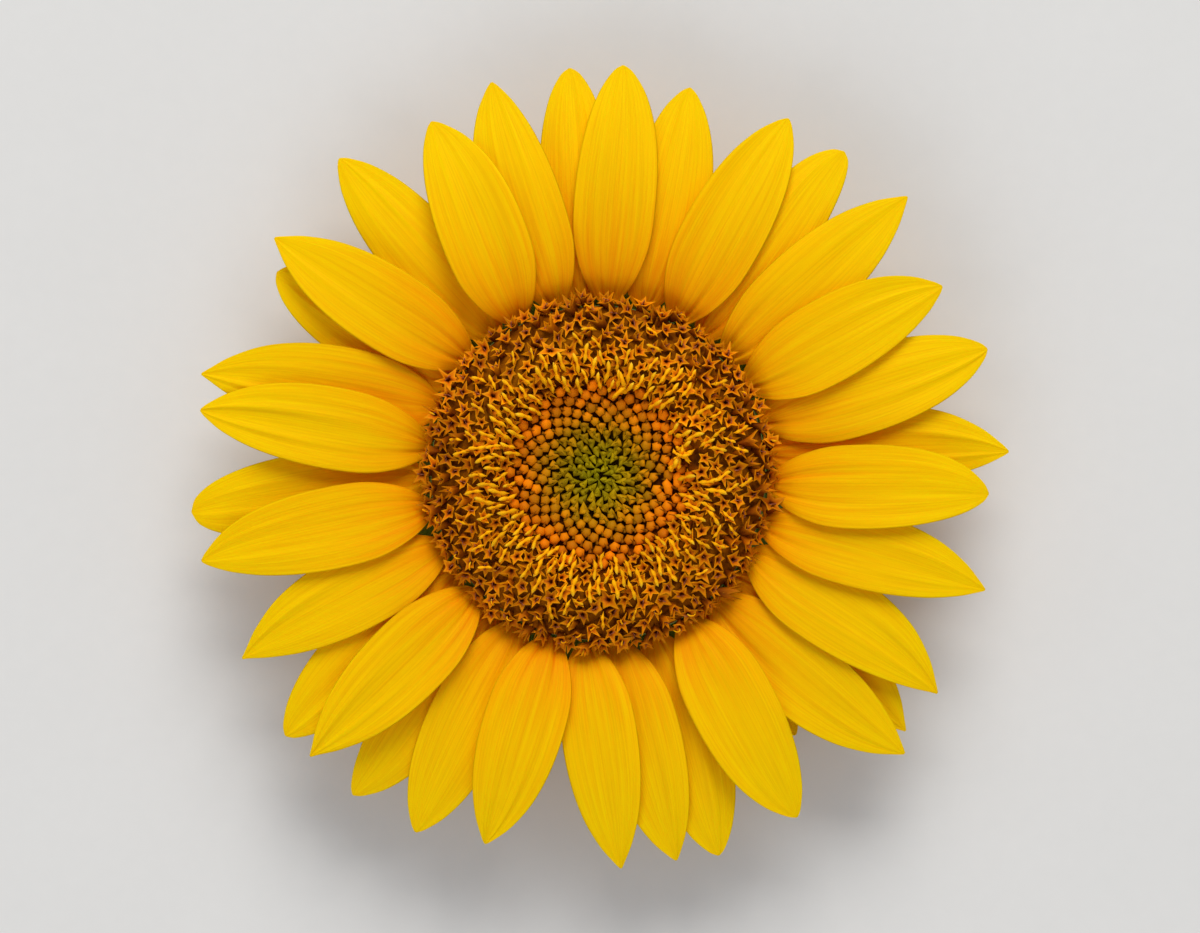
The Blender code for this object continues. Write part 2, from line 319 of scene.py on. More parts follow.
def receptacle_material():
    """Green rind, paler towards the stalk; on the cut face a green rim round cream pith."""
    material, tree, shader = make_material("receptacle_green", 0.62, 0.35)
    place = add_node(tree, "ShaderNodeTexCoord").outputs["Object"]
    split = add_node(tree, "ShaderNodeSeparateXYZ", Vector=place)
    height = add_maths(tree, "DIVIDE", split.outputs["Z"], receptacle_high.z)
    rind = add_ramp(tree, height, [
        (0.0, 0.32, 0.40, 0.11), (0.45, 0.25, 0.36, 0.08), (1.0, 0.17, 0.26, 0.05),
    ])
    level = add_node(tree, "ShaderNodeCombineXYZ", X=split.outputs["X"], Y=split.outputs["Y"]).outputs[0]
    from_axis = add_distance(tree, level, (AXIS_X, AXIS_Y, 0.0))
    pith = add_ramp(tree, add_maths(tree, "DIVIDE", from_axis, CUT_FACE_RADIUS), [
        (0.0, 0.62, 0.60, 0.38), (0.66, 0.55, 0.55, 0.30),
        (0.80, 0.30, 0.38, 0.12), (1.0, 0.16, 0.24, 0.06),
    ])
    on_face = add_maths(tree, "LESS_THAN", split.outputs["Z"], CUT_FACE_HEIGHT)
    colour = add_tint(tree, "MIX", on_face, rind, pith)
    cover_in_tissue(tree, shader, colour, scale=260.0, mottle=0.55, depth=0.25 * MM, strength=0.6)
    return material


points, along, across = receptacle_points(RECEPTACLE_ROWS, RECEPTACLE_COLUMNS)
faces = loop_faces(*along.shape, True)
rind_green = receptacle_material()
receptacle = make_piece("receptacle_and_stalk", points, faces, rind_green, along, across)
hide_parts("receptacle")


# --------------------------------------
# The bed of the disc. Under the florets lies a close layer of chaff and ovaries, with painted shade
# in its hollows. It follows the tops of the CAD's four rings of florets, a little lower.
# --------------------------------------
DISC_RINGS = ("disc_buds_green", "disc_buds_orange", "disc_florets_open", "disc_florets_outer")


def ring_reach(node):
    low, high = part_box(node)
    return (high.x - low.x) / 2.0


RING_REACH = [ring_reach(node) for node in DISC_RINGS]
DISC_RADIUS = RING_REACH[-1]
TOPS_ABOVE_FOOT = 6.0 * MM
disc_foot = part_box(DISC_RINGS[0])[0].z


def disc_top_line():
    """Radius and height along the tops of the four rings, from the axis out."""
    line = []
    for node in DISC_RINGS:
        radii, heights = turned_outline(node)
        top = heights > disc_foot + TOPS_ABOVE_FOOT
        line += sorted(zip(radii[top], heights[top]))
    return np.array(line).T


TOP_RADII, TOP_HEIGHTS = disc_top_line()


def disc_height(radius):
    """Height of the florets' tops at this radius: the CAD line, its steps eased off by averaging it
    over 3 mm."""
    offsets = np.linspace(-1.5, 1.5, 7) * MM
    near = np.abs(np.asarray(radius)[..., None] + offsets)
    return np.interp(near, TOP_RADII, TOP_HEIGHTS).mean(-1)


def disc_place(radius, azimuth):
    """The point on the florets' tops at this radius and azimuth."""
    return AXIS + turned_points(radius, azimuth, disc_height(radius))


GAP_RADIUS, GAP_AZIMUTH = 23.4 * MM, math.radians(8.5)
GAP_SHADOW_REACH = 4.0 * MM
BED_DEPTH = 2.5 * MM
BED_DEPTH_OPEN = 2.7 * MM
BED_DEPTH_CHANGES = RING_REACH[1] + np.array([-2.0, 2.0]) * MM
BED_RADIUS = 40.6 * MM
BED_LUMPS = 0.35 * MM
LUMPS_LENGTH = 0.55 * MM
LUMPS_ROUND = 34.0
BED_ROWS, BED_COLUMNS = 60, 170


def bed_points(rows, columns):
    """A dome a bed's depth under the florets' tops, with a wall down to the receptacle.

    It lies a little deeper under the open florets than under the buds, and its height swings by two
    crossed waves, which makes lumps about as wide as a floret.
    """
    radius = np.linspace(0.0, BED_RADIUS, rows)[:, None]
    azimuth = np.linspace(0.0, TURN, columns, endpoint=False)[None, :]
    depth = np.interp(radius, BED_DEPTH_CHANGES, [BED_DEPTH, BED_DEPTH_OPEN])
    lumps = BED_LUMPS * np.sin(radius / LUMPS_LENGTH) * np.cos(LUMPS_ROUND * azimuth)
    top = disc_height(radius) - depth + lumps * np.clip(radius / BED_RADIUS * 4.0, 0.0, 1.0)
    dome = turned_points(radius, azimuth, top)
    wall = turned_points(radius[-1:], azimuth, disc_foot)
    foot = turned_points(0.0 * radius[-1:], azimuth, disc_foot)
    return AXIS + np.concatenate([dome, wall, foot])


def bed_material():
    """Olive-brown under the young buds, red-brown under the ripe ones, ochre between the open
    florets; painted shade darkens its hollows, and a painted shadow makes it nearly black in the one
    gap where a floret is missing."""
    material, tree, shader = make_material("chaff_bed", 0.8, 0.04)
    place = add_node(tree, "ShaderNodeTexCoord").outputs["Object"]
    from_axis = add_distance(tree, place, (AXIS_X, AXIS_Y, disc_foot))
    reach = add_maths(tree, "DIVIDE", from_axis, DISC_RADIUS)
    ground = add_ramp(tree, reach, [
        (0.26, 0.10, 0.05, 0.001), (0.40, 0.13, 0.025, 0.001), (0.54, 0.30, 0.06, 0.0),
        (0.70, 0.36, 0.11, 0.0), (1.0, 0.26, 0.06, 0.0),
    ])
    hollows = add_node(tree, "ShaderNodeTexNoise", Vector=place, Scale=420.0, Detail=2.0).outputs[0]
    # Painted shade: the colour is darkened where the hollows noise is low, where the bump sinks the bed.
    depth = add_ramp(tree, hollows, [(0.36, 0.30, 0.18, 0.2), (0.52, 1.0, 1.0, 1.0)])
    colour = add_tint(tree, "MULTIPLY", 0.85, ground, depth)
    # A painted shadow: round the place of the missing floret the bed goes nearly black.
    from_gap = add_distance(tree, place, disc_place(GAP_RADIUS, GAP_AZIMUTH))
    gap = add_ramp(tree, add_maths(tree, "DIVIDE", from_gap, GAP_SHADOW_REACH), [
        (0.60, 0.05, 0.03, 0.05), (0.90, 1.0, 1.0, 1.0),
    ])
    colour = add_tint(tree, "MULTIPLY", 1.0, colour, gap)
    colour, _ = add_tissue(tree, colour, 700.0, 0.5)
    tree.links.new(colour, shader.inputs["Base Color"])
    add_bump(tree, shader, hollows, 0.6 * MM, 0.6)
    return material


points = bed_points(BED_ROWS, BED_COLUMNS)
make_piece("chaff_bed", points, loop_faces(*points.shape[:2], True), bed_material())


# --------------------------------------
# Where the florets stand. Each floret grows a golden angle round from the one before it, and the
# spacing widens from 2 mm in the middle of the disc to 4 mm at its edge.
# --------------------------------------
SPACING_RADII = np.array([0.0, 6.0, 11.0, 16.0, 21.5, 25.0, 30.0, 36.0, 44.0]) * MM
SPACINGS = np.array([1.9, 2.1, 2.4, 2.65, 2.85, 3.3, 3.7, 3.9, 4.1]) * MM
FIRST_FLORET_AZIMUTH = 0.9
EDGE_FLORETS_INSET = 0.6 * MM
HONEYCOMB_SHARE = 0.866
SPOT_STEPS = 4000
SPOT_SCATTER_OUT, SPOT_SCATTER_ROUND = 0.12 * MM, 0.10 * MM

draw = np.random.default_rng(34)


def floret_spots():
    """Radius and azimuth of every floret.

    A floret takes up 0.866 of its spacing squared, as in a honeycomb, so the number of florets
    inside a radius is the sum of ring areas over that, and each floret stands where it rises by 1.
    """
    radius = np.linspace(0.0, DISC_RADIUS - EDGE_FLORETS_INSET, SPOT_STEPS)
    spacing = np.interp(radius, SPACING_RADII, SPACINGS)
    crowd = TURN * radius / (HONEYCOMB_SHARE * spacing ** 2)
    inside = np.append(0.0, np.cumsum((crowd[1:] + crowd[:-1]) / 2.0 * np.diff(radius)))
    number = np.arange(int(inside[-1])) + 0.5
    return np.interp(number, inside, radius), FIRST_FLORET_AZIMUTH + GOLDEN_ANGLE * number


spot_radius, spot_azimuth = floret_spots()
spot_radius = spot_radius + draw.normal(0.0, SPOT_SCATTER_OUT, len(spot_radius))
scatter_round = draw.normal(0.0, SPOT_SCATTER_ROUND, len(spot_radius))
spot_azimuth = spot_azimuth + scatter_round / np.maximum(spot_radius, 3.0 * MM)
spot_spacing = np.interp(spot_radius, SPACING_RADII, SPACINGS)


def spots_between(inner, outer):
    """The numbers of the spots from one radius to another."""
    return np.flatnonzero((spot_radius >= inner) & (spot_radius < outer))


def frames_round(radius, azimuth, height, tilt):
    """Origins at these radii, azimuths and heights round the head's axis, and the axes there, as
    rows: outwards, anticlockwise and up, the first tilted up and the last inwards by tilt."""
    nothing = 0.0 * azimuth
    out = np.stack([np.cos(azimuth), np.sin(azimuth), nothing], 1)
    round_it = np.stack([-out[:, 1], out[:, 0], nothing], 1)
    up = np.array([0.0, 0.0, 1.0])
    cosine, sine = np.cos(tilt)[:, None], np.sin(tilt)[:, None]
    origin = AXIS + radius[:, None] * out + height[:, None] * up
    return origin, np.stack([out * cosine + up * sine, round_it, up * cosine - out * sine], 1)


def spot_frames(spots, sink, extra_tilt=0.0):
    """Origins, sunk by sink, and axes of the florets at these spots. The axes lean with the slope
    of the disc, and outwards by extra_tilt more."""
    radius = spot_radius[spots]
    step = 0.5 * MM
    rise = (disc_height(radius + step) - disc_height(np.abs(radius - step))) / (2.0 * step)
    height = disc_height(radius) - sink
    return frames_round(radius, spot_azimuth[spots], height, np.arctan(rise) - extra_tilt)


def spun(axes, angle):
    """The same axes, each turned about its own up by its angle, anticlockwise."""
    cosine, sine = np.cos(angle)[:, None], np.sin(angle)[:, None]
    first = axes[:, 0] * cosine + axes[:, 1] * sine
    second = axes[:, 1] * cosine - axes[:, 0] * sine
    return np.stack([first, second, axes[:, 2]], 1)


def set_out(shape, origin, axes, size):
    """Copies of a small shape of rows by columns points, one on each set of axes, scaled by size,
    which has a number for each axis. The shape may differ from copy to copy."""
    placed = np.einsum("nrcx,nxw->nrcw", shape * size[:, None, None, :], axes)
    return placed + origin[:, None, None, :]


def florets_piece(name, material, groups):
    """One mesh of many florets. Each group is its placed points, copies by rows by columns, and
    for each copy a tone; the row number, from 0 at the foot to 1 at the top, goes in as height."""
    all_points, all_faces, tones, heights = [], [], [], []
    start = 0
    for placed, tone in groups:
        copies, rows, columns = placed.shape[:3]
        faces = loop_faces(rows, columns, True)
        offsets = start + np.arange(copies)[:, None, None] * rows * columns
        all_points.append(placed.reshape(-1, 3))
        all_faces.append((faces[None] + offsets).reshape(-1, 4))
        tones.append(np.repeat(tone, rows * columns))
        level = np.linspace(0.0, 1.0, rows)[None, :, None]
        heights.append(np.broadcast_to(level, placed.shape[:3]).ravel())
        start += copies * rows * columns
    points = np.concatenate(all_points)
    radius = np.hypot(points[:, 0] - AXIS_X, points[:, 1] - AXIS_Y) / DISC_RADIUS
    numbers = {"tone": np.concatenate(tones), "height": np.concatenate(heights), "reach": radius}
    faces = np.concatenate(all_faces)
    return make_piece(name, points, faces, material, values=numbers, smooth=False)


def floret_material(name, roughness, specular, ramps, shades, tissue, spread=0.0):
    """A material that multiplies colour ramps over the height and the reach of florets_piece.

    The tone shades the colour from the first to the second of shades, and shifts the reach by up to
    half of spread either way. tissue is what cover_in_tissue needs after the colour.
    """
    material, tree, shader = make_material(name, roughness, specular)
    tone = read_value(tree, "tone")
    own = add_maths(tree, "MULTIPLY", add_maths(tree, "SUBTRACT", tone, 0.5), spread)
    height = read_value(tree, "height")
    places = {"height": height, "reach": add_maths(tree, "ADD", read_value(tree, "reach"), own)}
    colour = (1.0, 1.0, 1.0, 1.0)
    for label, stops in ramps.items():
        colour = add_tint(tree, "MULTIPLY", 1.0, colour, add_ramp(tree, places[label], stops))
    colour = add_shade(tree, colour, tone, *shades)
    cover_in_tissue(tree, shader, colour, *tissue)
    return material


# --------------------------------------
# Unopened florets. A ripe bud is an orange knob with five sides. The younger ones towards the
# middle are olive and hooded by a keeled scale, whose sharp point reaches in over the next bud.
# --------------------------------------
BUD_SIDES = 5
HOOD_SIDES = 6
HOOD_CORNERS = np.array([0.85, 1.22, 0.80, 1.0, 0.80, 1.22])
BEAK_RISE = 0.30
BUD_SINK = 0.35 * MM
BUD_HEIGHT = 2.2 * MM
SCALE_SINK = 0.45 * MM
SCALE_SIZE = np.array([[0.58, 0.34, 0.60]])
SCALE_BEAK = 0.95
SCALE_PLACE_OUT, SCALE_PLACE_ROUND = 0.42, 0.30
SCALES_FROM, SCALES_TO = 7.0 * MM, 21.0 * MM
FUSED_BUDS = ((17.2 * MM, math.radians(-11.5), 0.5), (19.3 * MM, math.radians(-5.0), 0.1))
FUSED_SIZE = np.array([[2.4, 4.4, 2.4]]) * MM
FUSED_ROOM = 1.9 * MM
TUFT_RADIUS, TUFT_AZIMUTH = 20.4 * MM, math.radians(12.0)
TUFT_ROOM = 1.6 * MM


def bud_shape():
    """A knob of five flat sides, 1 across and 1.4 deep, bevelled to a small flat top."""
    radii = np.array([0.0, 0.34, 0.46, 0.545, 0.50, 0.33, 0.14, 0.0])
    heights = np.array([-1.2, -1.15, -0.65, -0.36, -0.08, 0.14, 0.22, 0.24])
    azimuth = np.linspace(0.0, TURN, BUD_SIDES, endpoint=False)
    return turned_points(radii[:, None], azimuth, heights[:, None])


def hood_shape(beak):
    """A knob of six sides with a keel along its top, which is drawn out inwards to a sharp beak.

    The keel runs over the corners that face outwards and inwards. The inward one reaches to beak
    instead of 0.5, most of all at the shoulder, and rises with it. The corners beside the outward
    one are the widest, so that from above the hood is a triangle.
    """
    radii = np.array([0.0, 0.34, 0.42, 0.52, 0.46, 0.20, 0.0])
    heights = np.array([-1.2, -1.15, -0.60, -0.30, -0.14, 0.00, 0.06])
    drawn = np.array([0.0, 0.0, 0.1, 0.35, 1.0, 0.45, 0.0])
    keel = np.array([0.0, 0.0, 0.0, 0.05, 0.24, 0.28, 0.26])
    azimuth = np.linspace(0.0, TURN, HOOD_SIDES, endpoint=False)
    on_keel = np.abs(np.sin(azimuth)) < 0.1
    inwards = np.cos(azimuth) < -0.9
    radius = radii[:, None] * HOOD_CORNERS
    radius = radius + (beak - radius) * drawn[:, None] * inwards
    rise = BEAK_RISE * (beak - 0.5) * drawn[:, None] * inwards
    height = heights[:, None] + keel[:, None] * on_keel + rise
    return turned_points(radius, azimuth, height)


def scatter_axes(axes, amount):
    """The axes tipped a little, each its own way, by normal draws of this size in radians."""
    tip_out, tip_round = draw.normal(0.0, amount, (2, len(axes)))
    first = axes[:, 0] + axes[:, 2] * tip_out[:, None]
    second = axes[:, 1] + axes[:, 2] * tip_round[:, None]
    third = axes[:, 2] - axes[:, 0] * tip_out[:, None] - axes[:, 1] * tip_round[:, None]
    return np.stack([first, second, third], 1)


def placed_buds(spots, shape, fill, turn, tip):
    """Buds of this shape on these spots, turned about their own axes by random draws of this size."""
    origin, axes = spot_frames(spots, BUD_SINK)
    axes = scatter_axes(spun(axes, draw.normal(0.0, turn, len(spots))), tip)
    width = spot_spacing[spots] * fill * draw.uniform(0.93, 1.07, len(spots))
    length = width * draw.uniform(0.95, 1.08, len(spots))
    size = np.stack([length, width, np.full_like(width, BUD_HEIGHT)], 1)
    return set_out(shape, origin, axes, size), draw.uniform(0.0, 1.0, len(spots))


def placed_scales(spots, turn):
    """Small keeled scales in the gaps between the buds, half a spacing out from each bud and to one
    side, their points inwards and lower than the buds."""
    origin, axes = spot_frames(spots, SCALE_SINK)
    spacing = spot_spacing[spots][:, None]
    origin = origin + spacing * (SCALE_PLACE_OUT * axes[:, 0] + SCALE_PLACE_ROUND * axes[:, 1])
    axes = scatter_axes(spun(axes, draw.normal(turn, 0.2, len(spots))), 0.10)
    size = spacing * SCALE_SIZE * draw.uniform(0.8, 1.15, (len(spots), 1))
    return set_out(hood_shape(SCALE_BEAK), origin, axes, size), draw.uniform(0.0, 1.0, len(spots))


def clear_of(spots, radius, azimuth, distance):
    """The spots farther than this distance from one place on the disc."""
    x = spot_radius[spots] * np.cos(spot_azimuth[spots]) - radius * math.cos(azimuth)
    y = spot_radius[spots] * np.sin(spot_azimuth[spots]) - radius * math.sin(azimuth)
    return spots[np.hypot(x, y) > distance]


def bud_groups(zones):
    """A group for each zone: from and to radius in mm, then shape, fill, turn and tip. Room is left
    for the two fused buds and the tuft."""
    groups = []
    for row in zones:
        spots = spots_between(row[0] * MM, row[1] * MM)
        for radius, azimuth, _ in FUSED_BUDS:
            spots = clear_of(spots, radius, azimuth, FUSED_ROOM)
        spots = clear_of(spots, TUFT_RADIUS, TUFT_AZIMUTH, TUFT_ROOM)
        groups.append(placed_buds(spots, *row[2:]))
    return groups


def disc_frame(radius, azimuth):
    """Origin and level axes of one place on the disc."""
    radius, azimuth = np.array([radius]), np.array([azimuth])
    return frames_round(radius, azimuth, disc_height(radius), 0.0 * azimuth)


def fused_buds():
    """Two pairs of buds that grew together, each an orange knob twice as long as wide."""
    groups = []
    for radius, azimuth, turn in FUSED_BUDS:
        origin, axes = disc_frame(radius, azimuth)
        placed = set_out(bud_shape(), origin, spun(axes, np.array([turn])), FUSED_SIZE)
        groups.append((placed, np.array([1.0])))
    return groups


HOODED_ZONES = (
    (0.0, 2.6, hood_shape(0.72), 0.90, 1.2, 0.50),
    (2.6, 6.6, hood_shape(0.84), 1.00, 0.45, 0.24),
    (6.6, 10.0, hood_shape(0.76), 1.00, 0.30, 0.18),
)
RIPE_ZONES = (
    (10.0, 12.2, hood_shape(0.66), 0.98, 0.25, 0.14),
    (12.2, 22.0, bud_shape(), 0.98, 1.5, 0.14),
)
# Ripening colour by reach from the axis, each bud's own, and painted shade darker down its sides.
bud_skin = floret_material("bud_skin", 0.6, 0.06, {
    "reach": [
        (0.00, 0.27, 0.23, 0.0), (0.13, 0.36, 0.24, 0.0), (0.24, 0.44, 0.205, 0.0),
        (0.33, 0.58, 0.19, 0.0), (0.42, 0.74, 0.19, 0.0), (0.52, 0.76, 0.18, 0.0),
    ],
    "height": [
        (0.28, 0.20, 0.09, 0.1), (0.43, 0.58, 0.45, 0.4), (0.60, 1.0, 1.0, 1.0),
    ],
}, shades=(0.75, 1.25), tissue=(900.0, 0.45, 0.06 * MM, 0.5), spread=0.06)
green_buds = florets_piece("green_buds", bud_skin, bud_groups(HOODED_ZONES))
ripe_groups = bud_groups(RIPE_ZONES) + fused_buds()
orange_buds = florets_piece("orange_buds", bud_skin, ripe_groups)
scale_groups = [placed_scales(spots_between(SCALES_FROM, SCALES_TO), 0.35)]
# Olive points among the young buds, browner among the ripe ones, painted shade darker down their sides.
chaff_olive = floret_material("chaff_olive", 0.65, 0.06, {
    "reach": [
        (0.06, 0.25, 0.20, 0.0), (0.24, 0.27, 0.16, 0.0),
        (0.36, 0.28, 0.10, 0.0), (0.48, 0.30, 0.06, 0.0),
    ],
    "height": [
        (0.35, 0.25, 0.15, 0.1), (0.75, 1.0, 1.0, 1.0),
    ],
}, shades=(1.0, 1.0), tissue=(900.0, 0.5, 0.05 * MM, 0.5))
florets_piece("chaff_scales", chaff_olive, scale_groups)
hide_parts("disc_buds_green")
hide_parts("disc_buds_orange")


# --------------------------------------
# Open florets. The corolla is a little tube that splits at its mouth into five pointed lobes. The
# inner ones have just opened; the outer ones are older and redder. Each throat is its own deep
# brown, darkened further with painted shade.
# --------------------------------------
LOBES = 5
LOBE_SCATTER = 0.30
COROLLA_LEAN = 0.38
COROLLA_DEPTH = 2.7 * MM
GAP_ROOM = 2.6 * MM
OPEN_FORMS = (
    (1.0, 0.40, 0.10, 0.78, 0.0), (0.8, 0.34, 0.40, 0.70, 0.0), (1.1, 0.46, 0.22, 0.76, 0.0),
)
OUTER_FORMS = (
    (0.8, 0.42, 0.18, 0.74, 0.20), (0.5, 0.34, 0.60, 0.66, 0.30), (0.9, 0.48, 0.36, 0.70, 0.15),
)
WALL_FLORETS = 66
WALL_RADIUS = 42.0 * MM
WALL_HEIGHT = 30.2 * MM
WALL_TILT = 0.95
WALL_FORM = (0.40, 0.3)


def corolla_shape(spread, curl):
    """A tube whose mouth opens into five pointed lobes, and back down inside to its floor.

    Round the mouth the points alternate: every second one is a lobe's point, drawn out by spread
    and lifted by curl; the ones between lie in the notches.
    """
    azimuth = np.linspace(0.0, TURN, 2 * LOBES, endpoint=False)
    is_lobe = np.arange(2 * LOBES) % 2 == 0
    radii = np.array([0.0, 0.26, 0.38, 0.44, 0.46, 0.44, 0.34, 0.24, 0.15, 0.11, 0.0])
    heights = np.array([-1.0, -0.98, -0.35, -0.08, -0.02, 0.02, 0.00, -0.06, -0.14, -0.40, -0.42])
    drawn = np.array([0.0, 0.0, 0.0, 0.10, 0.80, 1.0, 0.55, 0.20, 0.0, 0.0, 0.0]) * spread
    lifted = np.array([0.0, 0.0, 0.0, 0.05, 0.80, 1.0, 0.45, 0.12, 0.0, 0.0, 0.0]) * curl
    notch = np.array([0.0, 0.0, 0.0, -0.02, -0.05, -0.06, -0.03, 0.0, 0.0, 0.0, 0.0])
    radius = radii[:, None] + np.where(is_lobe, drawn[:, None], notch[:, None])
    height = heights[:, None] + np.where(is_lobe, lifted[:, None], 0.0)
    return turned_points(radius, azimuth, height)


def uneven_corollas(copies, spread, curl):
    """Corollas whose lobes differ in length and in how far they lift."""
    lobes = draw.uniform(1.0 - LOBE_SCATTER, 1.0 + LOBE_SCATTER, (copies, 1, 2 * LOBES, 1))
    lift = draw.uniform(0.4, 1.6, (copies, 1, 2 * LOBES, 1))
    return corolla_shape(spread, curl)[None] * np.concatenate([lobes, lobes, lift], -1)


def placed_corollas(spots, sink, spread, curl, fill, tilt):
    """Corollas on these spots, each turned and leaning its own way and a little uneven."""
    origin, axes = spot_frames(spots, sink, tilt)
    axes = scatter_axes(spun(axes, draw.uniform(0.0, TURN, len(spots))), COROLLA_LEAN)
    width = spot_spacing[spots] * fill * draw.uniform(0.85, 1.15, len(spots))
    across = width * draw.uniform(0.85, 1.1, len(spots))
    size = np.stack([width, across, np.full_like(width, COROLLA_DEPTH)], 1)
    shapes = uneven_corollas(len(spots), spread, curl)
    return set_out(shapes, origin, axes, size), draw.uniform(0.0, 1.0, len(spots))


def corolla_groups(spots, forms):
    """The spots dealt out at random between forms. A form is sink in mm, spread, curl, fill and
    outward tilt."""
    dealt = np.array_split(draw.permutation(spots), len(forms))
    return [placed_corollas(some, form[0] * MM, *form[1:]) for some, form in zip(dealt, forms)]


def wall_corollas():
    """The last row of florets, which lean out nearly level over the roots of the petals."""
    number = np.arange(WALL_FLORETS) + draw.uniform(-0.3, 0.3, WALL_FLORETS)
    azimuth = TURN * number / WALL_FLORETS
    same = np.ones(WALL_FLORETS)
    origin, axes = frames_round(WALL_RADIUS * same, azimuth, WALL_HEIGHT * same, -WALL_TILT * same)
    axes = scatter_axes(spun(axes, draw.uniform(0.0, TURN, WALL_FLORETS)), COROLLA_LEAN)
    size = draw.uniform(2.5, 3.2, WALL_FLORETS)[:, None] * np.ones(3) * MM
    placed = set_out(corolla_shape(*WALL_FORM), origin, axes, size)
    return placed, draw.uniform(0.0, 0.7, WALL_FLORETS)


# Orange lobes with bright edges, browner in the older florets; down the tube and into the throat
# the colour is partly its own deep brown and partly painted shade.
corolla_skin = floret_material("corolla_orange", 0.6, 0.06, {
    "height": [
        (0.20, 0.28, 0.06, 0.0), (0.38, 0.66, 0.19, 0.0), (0.50, 0.88, 0.34, 0.0),
        (0.60, 0.84, 0.27, 0.0), (0.71, 0.70, 0.17, 0.0), (0.82, 0.14, 0.016, 0.001),
    ],
    "reach": [
        (0.62, 1.0, 1.0, 1.0), (0.90, 0.82, 0.74, 1.0),
    ],
}, shades=(0.74, 1.19), tissue=(800.0, 0.45, 0.08 * MM, 0.5))
open_spots = spots_between(RING_REACH[1], RING_REACH[2])
open_spots = clear_of(open_spots, GAP_RADIUS, GAP_AZIMUTH, GAP_ROOM)
outer_spots = spots_between(RING_REACH[2], DISC_RADIUS)
open_groups = corolla_groups(open_spots, OPEN_FORMS)
open_florets = florets_piece("open_florets", corolla_skin, open_groups)
outer_groups = [*corolla_groups(outer_spots, OUTER_FORMS), wall_corollas()]
outer_florets = florets_piece("outer_florets", corolla_skin, outer_groups)
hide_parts("disc_florets_open")
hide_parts("disc_florets_outer")


# --------------------------------------
# Anther strands and stigmas. From each newly opened floret a bright yellow strand, dusted with
# pollen, leans in towards the middle; in the outer florets two small pinkish stigmas curl back.
# --------------------------------------
STRAND_LENGTH = 5.3 * MM
STRAND_SHARE = 0.85
STRAND_FORMS = 3
STRANDS_TO = 31.0 * MM
LATE_STRANDS_TO = 37.0 * MM
LATE_STRAND_LENGTH = 4.2 * MM
LATE_STRAND_SHARE = 0.40
STRANDLESS_RADIUS = GAP_RADIUS + 2.0 * MM
STRANDLESS_REACH = 4.0 * MM
TUFT_STRANDS = 11
TUFT_THICKNESS = 1.6
LOOP_RADIUS, LOOP_AZIMUTH = 21.7 * MM, math.radians(73.0)
LOOP_TURNS = (0.6, 2.6)
LOOP_RAISED = 1.5 * MM
LOOP_SIZE = 4.2 * MM
STYLE_CURL = 3.0
STYLE_SHARE = 0.25
STYLE_SINK = 0.9 * MM
STYLE_SIZE = 1.7 * MM
STIGMA_CURL = 3.6
STIGMA_SINK = 1.3 * MM
STIGMA_SIZE = 0.9 * MM
STIGMAS_FROM = RING_REACH[2] - 3.0 * MM


def tube_along(path, radii, sides):
    """A tube round a path that lies near the plane of out and up: rows of points round each place,
    square to the path."""
    heading = np.gradient(path, axis=0)
    heading /= np.linalg.norm(heading, axis=1, keepdims=True)
    lift = np.stack([-heading[:, 2], 0.0 * heading[:, 0], heading[:, 0]], 1)
    side = np.array([0.0, 1.0, 0.0])
    azimuth = np.linspace(0.0, TURN, sides, endpoint=False)
    ring = side * np.cos(azimuth)[:, None, None] + lift[None] * np.sin(azimuth)[:, None, None]
    return path[:, None, :] + ring.transpose(1, 0, 2) * np.asarray(radii)[:, None, None]


def strand_shape(wave):
    """A strand 1 long that lies inwards over its floret: two thick lengths with a waist between
    them, the outer end blunt and the inner one drawn out thin."""
    share = np.linspace(0.0, 1.0, 11)
    out = 0.42 - share
    up = 0.10 + 0.14 * np.sin(share * 3.0) - 0.10 * share
    path = np.stack([out, 0.035 * np.sin(share * 6.0 + wave), up], 1)
    radii = np.array([0.0, 0.066, 0.094, 0.098, 0.066, 0.060, 0.098, 0.100, 0.058, 0.024, 0.0])
    return tube_along(path, radii, 5)


def stigma_shape(curl):
    """One arm of a stigma: a thin tube that rises and curls over outwards, 1 across."""
    bend = np.linspace(0.0, curl, 7)
    path = np.stack([0.5 * (1.0 - np.cos(bend)), 0.0 * bend, 0.75 * np.sin(bend)], 1)
    return tube_along(path, np.array([0.10, 0.13, 0.13, 0.12, 0.11, 0.08, 0.0]), 4)


def placed_threads(spots, sink, tilt, turn, tip, shape, size, uneven):
    """Threads of this shape and size on these spots, leaning out by tilt, each turned by its own
    turn, tipped at random by tip and up to this share longer or shorter."""
    origin, axes = spot_frames(spots, sink, tilt)
    axes = scatter_axes(spun(axes, turn), tip)
    scale = size * draw.uniform(1.0 - uneven, 1.0 + uneven, len(spots))
    return set_out(shape, origin, axes, scale[:, None] * np.ones(3)), draw.uniform(0.0, 1.0, len(spots))


def placed_strands(spots, sink, shape, length, turn):
    """Strands on these spots, turned from the way inwards by random draws of the size turn."""
    turned = draw.normal(0.0, turn, len(spots))
    return placed_threads(spots, sink, 0.0, turned, 0.10, shape, length, 0.15)


def placed_arms(spots, sink, turn, curl, size):
    """Arms with this curl on these spots, each turned by its own turn."""
    return placed_threads(spots, sink, 0.15, turn, 0.15, stigma_shape(curl), size, 0.2)


